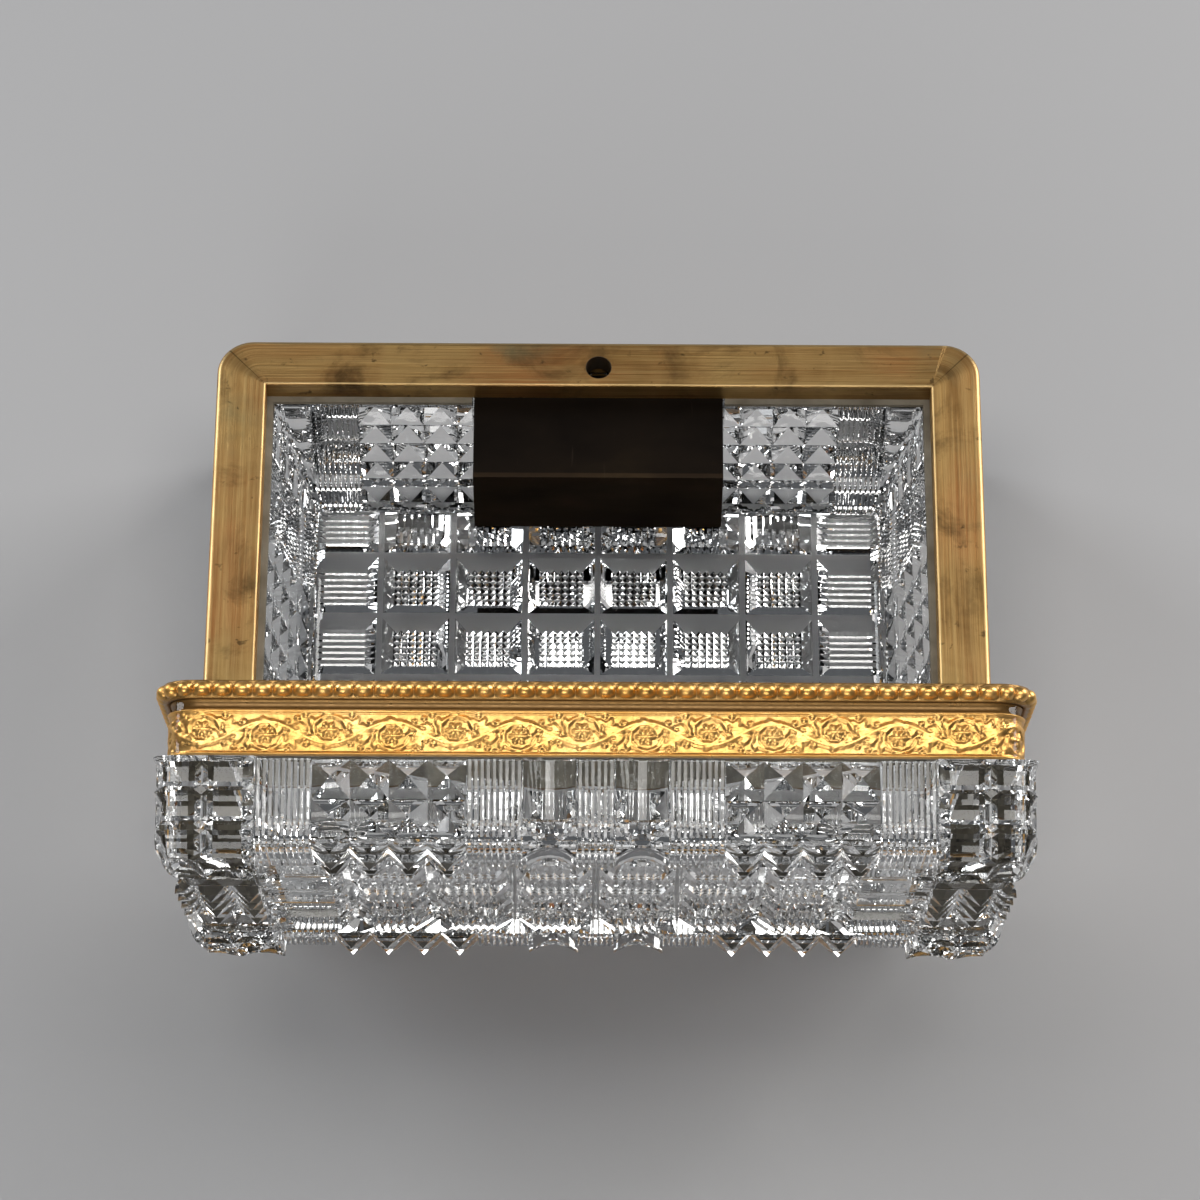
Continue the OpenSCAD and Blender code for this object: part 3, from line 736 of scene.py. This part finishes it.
def foliage(s, y, period):
    """Running scroll, s along and y across in mm, height 0 to 1. A stem follows a sine wave. In each
    bend an arm whose radius grows with the angle curls round a flower and carries small leaves on its
    outer side, one for every sixth of a turn; sprays of leaves and berries fill the field between two
    bends."""
    slope = STEM_SWING * 2 * math.pi / period * np.cos(2 * math.pi * s / period)
    d = np.abs(y - STEM_SWING * np.sin(2 * math.pi * s / period)) / np.sqrt(1 + slope ** 2) / STEM_HALF
    out = 0.8 * np.sqrt(np.clip(1 - d ** 2, 0, 1)) * (0.85 + 0.15 * np.cos(d * 3 * math.pi))
    for k, side in ((0.25, -1), (-0.25, 1)):
        x = s - k * period
        x = x - period * np.round(x / period)
        u = (y - side * FLOWER_OFF) * side
        ang, rad = np.arctan2(u, x), np.hypot(x, u)
        out = np.maximum(out, 0.9 * petals(x, u, 1.45, 6, 0.2))
        out = np.maximum(out, bumps(x, u, 0, 0, 0.5))
        arm = ARM_R + ARM_GROWTH * (ang + math.pi)
        curl = np.sqrt(np.clip(1 - ((rad - arm) / (0.38 + 0.12 * np.cos(9 * ang))) ** 2, 0, 1))
        out = np.maximum(out, 0.7 * curl)
        for a in np.arange(-2.6, 2.9, 1.05):
            r = ARM_R + 0.7 + ARM_GROWTH * (a + math.pi)
            out = np.maximum(out, 0.75 * leaf(x, u, r * math.cos(a), r * math.sin(a), a + 0.8, 1.2))
        for at, tilt in ((4.55, 1.1), (5.05, 0.0), (4.55, -1.1)):
            out = np.maximum(out, 0.8 * leaf(x, u, at, 0.9 * tilt - 0.4, tilt, 1.45))
            out = np.maximum(out, 0.8 * leaf(x, u, -at, 0.9 * tilt + 0.5, math.pi - tilt, 1.45))
        for at_x, at_y in BERRIES:
            out = np.maximum(out, 0.65 * bumps(x, u, at_x, at_y, 0.5))
    return out


def loop_length(ax, ay, r):
    """Length of the outline of a rectangle with round corners."""
    return 4 * (ax + ay - 2 * r) + 2 * math.pi * r


def along_loop(ax, ay, r, s):
    """Points and outward normals at running lengths s on a rectangle with round corners: each side is a
    straight of twice its half size less r, then a quarter turn of radius r."""
    pts, nrm = np.zeros((len(s), 2)), np.zeros((len(s), 2))
    start = 0.0
    for d, n, along, out in sides(ax, ay):
        straight = 2 * (along - r)
        u = s - start
        on = (u >= 0) & (u < straight)
        pts[on] = (u[on] - straight / 2)[:, None] * d + n * out
        nrm[on] = n
        on = (u >= straight) & (u < straight + r * math.pi / 2)
        a = ((u[on] - straight) / r)[:, None]
        nrm[on] = np.cos(a) * n + np.sin(a) * d
        pts[on] = d * (along - r) + n * (out - r) + r * nrm[on]
        start += straight + r * math.pi / 2
    return pts, nrm


def mount(name, body, plan, z0, z1, back, pitch, marks, heights, outline):
    """A gilt ring carried round the case on a plan of half width, half depth and corner radius. The
    repeats are the whole number that closes the loop with a length nearest to pitch. marks are the
    places sampled in one repeat, 0 to 1, and heights those up the band, -1 to 1. outline(s, v, repeat)
    gives how far the face stands out and how deep in a recess it lies. The back is a plain inner
    wall."""
    total = loop_length(*plan)
    count = round(total / pitch)
    s = ((np.arange(count)[:, None] + marks) * total / count).ravel()
    pts, nrm = along_loop(*plan, s)
    S, V = np.meshgrid(s, heights)
    out, low = outline(S, V, total / count)
    face = np.column_stack([
        (pts[:, 0] + nrm[:, 0] * out).ravel(), (pts[:, 1] + nrm[:, 1] * out).ravel(),
        (z0 + (V + 1) / 2 * (z1 - z0)).ravel()])
    inner = [np.column_stack([pts - nrm * back, np.full(len(pts), z)]) for z in (z1, z0)]
    p = np.vstack([face] + inner)
    q = tube_faces(len(heights) + 2, len(pts), close_rows=True)
    recess = np.concatenate([low.ravel(), np.ones(2 * len(pts))])
    if body == "lid":
        p = opened(p)
    return piece(name, p, q, GILT, body, {"recess": recess}, smooth=True)


def frieze_outline(bottom, top):
    """Frieze face: a matted ground between two thin mouldings of the given heights, with the scroll
    standing on it."""
    def outline(s, v, repeat):
        """How far the face stands out, and how deep in a recess it lies."""
        field = np.abs(v) < FIELD
        h = foliage(s, v * FIELD_HALF, repeat) * field
        lip = np.zeros_like(s)
        for at, tall in ((-0.93, bottom), (0.93, top)):
            lip = np.maximum(lip, tall * np.sqrt(np.clip(1 - ((v - at) / 0.07) ** 2, 0, 1)))
        matting = 0.07 * np.sin(s * 8.3 + 2.1 * np.sin(v * 9)) * np.sin(v * 21 + 1.7 * np.sin(s * 3.1))
        low = np.clip(0.30 - 0.5 * h - 1.0 * lip, 0, 1)
        return -0.70 + 0.50 * h + lip + matting * (h < 0.05) * field, low
    return outline


def beading(s, v, repeat):
    """Bead row: a quirk at each side and between them round beads, the height of a circle in both
    directions."""
    u = 2 * (s / repeat - np.floor(s / repeat)) - 1
    ball = np.sqrt(np.clip(1 - u ** 2 - (v / BEAD_SHARE) ** 2, 0, 1))
    return -1.45 + 1.4 * ball, np.clip(0.8 - 1.3 * ball, 0, 1)


def cove(s, v, repeat):
    """Hollow between beads and frieze: a circle's arc sunk into the side."""
    return -0.5 - 0.55 * np.sqrt(np.clip(1 - v ** 2, 0, 1)), 0.75 + 0.25 * (1 - v ** 2)


def circle_marks(n):
    """Places from -1 to 1 that crowd towards both ends as the sine does, so that a round bead's edge
    stays round."""
    return np.sin(np.linspace(-math.pi / 2, math.pi / 2, n))


FRIEZE_MARKS = np.arange(84) / 84
FRIEZE_ROWS = np.concatenate([[-1, -0.98, -0.955], np.linspace(-0.93, 0.93, 36), [0.955, 0.98, 1]])
BEAD_MARKS = (circle_marks(9)[:-1] + 1) / 2
BEAD_ROWS = np.concatenate([[-1], BEAD_SHARE * circle_marks(11), [1]])
frieze = mount("lid_frieze", "lid", BAND_PLAN, LID_BAND_Z, LID_BAND_Z + BAND_H, BAND_WALL, FRIEZE_PITCH,
               FRIEZE_MARKS, FRIEZE_ROWS, frieze_outline(0.5, 0.9))
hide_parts("lid_band", "lid_fillet")
body_frieze = mount("body_frieze", "body", BAND_PLAN, BAND_LO[2], RIM_Z, BAND_WALL, FRIEZE_PITCH,
                    FRIEZE_MARKS, FRIEZE_ROWS, frieze_outline(0.9, 0.5))
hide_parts("body_band", "body_fillet")
groove = mount("lid_groove", "lid", BAND_PLAN, LID_Z + BEAD_H - 0.05, LID_BAND_Z + 0.05, BAND_WALL,
               GROOVE_PITCH, np.array([0.0]), np.linspace(-1, 1, 9), cove)
beads = mount("lid_beads", "lid", BEAD_PLAN, LID_Z, LID_Z + BEAD_H, 2.5, BEAD_PITCH,
              BEAD_MARKS, BEAD_ROWS, beading)
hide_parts("lid_beading")


def rim_frame():
    """Flat rim: a closed profile of bar, carried between the sharp inner opening and the round outer
    outline, each point a straight blend between the two. The outer top edge is rubbed round, and the
    inner one just broken."""
    outer, nrm, s = round_rectangle(HALF_W, HALF_D, RIM_CORNER, 1.5, 12)
    corner = np.array([HALF_W - RIM_CORNER, HALF_D - RIM_CORNER])
    opening = np.array([INNER_X, INNER_Y])
    inner = np.sign(outer) * np.minimum(np.abs(outer) * (opening / corner), opening)
    top = BODY_H - RIM_Z
    # profile: share of the bar from the opening outwards, and height over the underside in mm
    prof = [(0.0, 0.0), (0.0, top - 0.35), (0.012, top - 0.12), (0.035, top)]
    prof += [(f, top) for f in (0.055, 0.08, 0.2, 0.4, 0.6, 0.8, 0.87)]
    for v in np.linspace(0, math.pi / 2, 6):
        prof.append((1 - 0.09 * (1 - math.sin(v)), top - 0.9 * (1 - math.cos(v))))
    prof += [(1.0, 1.2), (1.0, 0.5), (0.975, 0.0)]
    prof = np.array(prof)
    f, z = prof[:, 0][:, None, None], prof[:, 1][:, None]
    xy = inner[None] * (1 - f) + outer[None] * f
    zz = np.broadcast_to(RIM_Z + z, xy.shape[:2])
    p = np.concatenate([xy, zz[..., None]], -1).reshape(-1, 3)
    turned = prof * np.array([RIM_SIDE, 1.0])
    across = np.concatenate([[0], np.cumsum(np.linalg.norm(np.diff(turned, axis=0), axis=1))])
    uv = np.column_stack([np.tile(s, len(prof)), np.repeat(across, len(outer))]) * 0.001
    # worn bright near the two top edges, and a dark line on the diagonal where two bars meet
    worn = np.exp(-((prof[:, 0] - 0.035) / 0.02) ** 2) + np.exp(-((prof[:, 0] - 0.95) / 0.03) ** 2)
    slant = np.isclose(np.abs(nrm[:, 0]), np.abs(nrm[:, 1]))
    marks = {"edge": np.repeat(np.clip(worn, 0, 1), len(outer)),
             "mitre": np.tile(slant.astype(float), len(prof))}
    faces = tube_faces(len(prof), len(outer), close_rows=True)
    return piece("rim_frame", p, faces, BRUSHED, "body", marks, uv=uv)


rim = rim_frame()
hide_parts("body_rim")


def bored(obj, x, y, z0, z1, radius):
    """Cuts a round upright hole through a closed piece and keeps the result as its mesh."""
    n = 48
    a = np.linspace(0, 2 * math.pi, n + 1)[:-1]
    ring = np.column_stack([x + radius * np.cos(a), y + radius * np.sin(a)])
    p = np.vstack([np.column_stack([ring, np.full(n, z)]) for z in (z0, z1)]) * 0.001
    mesh = bpy.data.meshes.new("drill")
    caps = [list(range(n))[::-1], list(range(n, 2 * n))]
    mesh.from_pydata(p.tolist(), [], tube_faces(2, n).tolist() + caps)
    drill = bpy.data.objects.new("drill", mesh)
    bpy.context.scene.collection.objects.link(drill)
    cut = obj.modifiers.new("bore", "BOOLEAN")
    cut.operation, cut.solver, cut.object = "DIFFERENCE", "EXACT", drill
    done = bpy.data.meshes.new_from_object(obj.evaluated_get(bpy.context.evaluated_depsgraph_get()))
    obj.modifiers.clear()
    old, obj.data = obj.data, done
    bpy.data.meshes.remove(old)
    bpy.data.objects.remove(drill)
    bpy.data.meshes.remove(mesh)


bored(rim, 0, HOLE_Y, RIM_Z - 2, BODY_H + 2, HOLE_R)

# ---------------------------------------------------------------- floor, light, camera
REACH = 3   # half width of the floor, m
floor_mesh = bpy.data.meshes.new("floor")
corners = [(-REACH, -REACH, 0), (REACH, -REACH, 0), (REACH, REACH, 0), (-REACH, REACH, 0)]
floor_mesh.from_pydata(corners, [], [(0, 1, 2, 3)])
floor = bpy.data.objects.new("floor", floor_mesh)
bpy.context.scene.collection.objects.link(floor)
floor_paint, floor_shader = tree("pale_floor")[:2]
floor_shader.inputs["Roughness"].default_value = 0.6
floor_shader.inputs["Base Color"].default_value = (0.42, 0.42, 0.43, 1)
floor_mesh.materials.append(floor_paint)

world = bpy.data.worlds.new("studio")
bpy.context.scene.world = world
world.use_nodes = True
background = world.node_tree.nodes["Background"]
background.inputs["Color"].default_value = (0.9, 0.94, 1.0, 1)
background.inputs["Strength"].default_value = 0.10


def softbox(name, at, towards, size, power, colour):
    """A soft rectangular light at a place, turned towards another; metres and watts."""
    data = bpy.data.lights.new(name, "AREA")
    data.shape = "RECTANGLE"
    data.size, data.size_y = size
    data.energy = power
    data.color = colour
    lamp = bpy.data.objects.new(name, data)
    lamp.location = at
    lamp.rotation_euler = (Vector(towards) - Vector(at)).to_track_quat("-Z", "Y").to_euler()
    bpy.context.scene.collection.objects.link(lamp)


softbox("overhead", (0.0, 0.10, 1.15), (0, 0.03, 0.03), (1.0, 0.36), 5.5, (1.0, 0.98, 0.95))
softbox("right_light", (-0.80, -0.50, 0.50), (0, 0.02, 0.04), (0.55, 0.55), 7.0, (1.0, 0.98, 0.95))
softbox("left_light", (0.85, -0.55, 0.55), (0, 0.02, 0.04), (0.45, 0.55), 5.0, (0.95, 0.98, 1.0))
softbox("front_light", (0.15, 0.95, 0.62), (0, 0.05, 0.03), (0.6, 0.35), 2.8, (1.0, 0.99, 0.96))
scene = bpy.context.scene
scene.view_settings.view_transform = "Standard"

camera_data = bpy.data.cameras.new("camera")
camera_data.lens, camera_data.sensor_width = 150.8, 36.0
camera_data.clip_start, camera_data.clip_end = 0.05, 20
camera = bpy.data.objects.new("camera", camera_data)
centre = Vector((-0.0005, 0.0086, 0.0425))   # the point looked at, m
distance, towards_camera = 0.965, Vector((0, 0.4687, 0.8833))
camera.location = centre + distance * towards_camera
camera.rotation_mode = "QUATERNION"
aim = (centre - camera.location).to_track_quat("-Z", "Y")
camera.rotation_quaternion = aim @ Quaternion((0, 0, 1), 0.005)
scene.collection.objects.link(camera)
scene.camera = camera
scene.cycles.max_bounces = 24
scene.cycles.transmission_bounces = 24
scene.cycles.glossy_bounces = 8
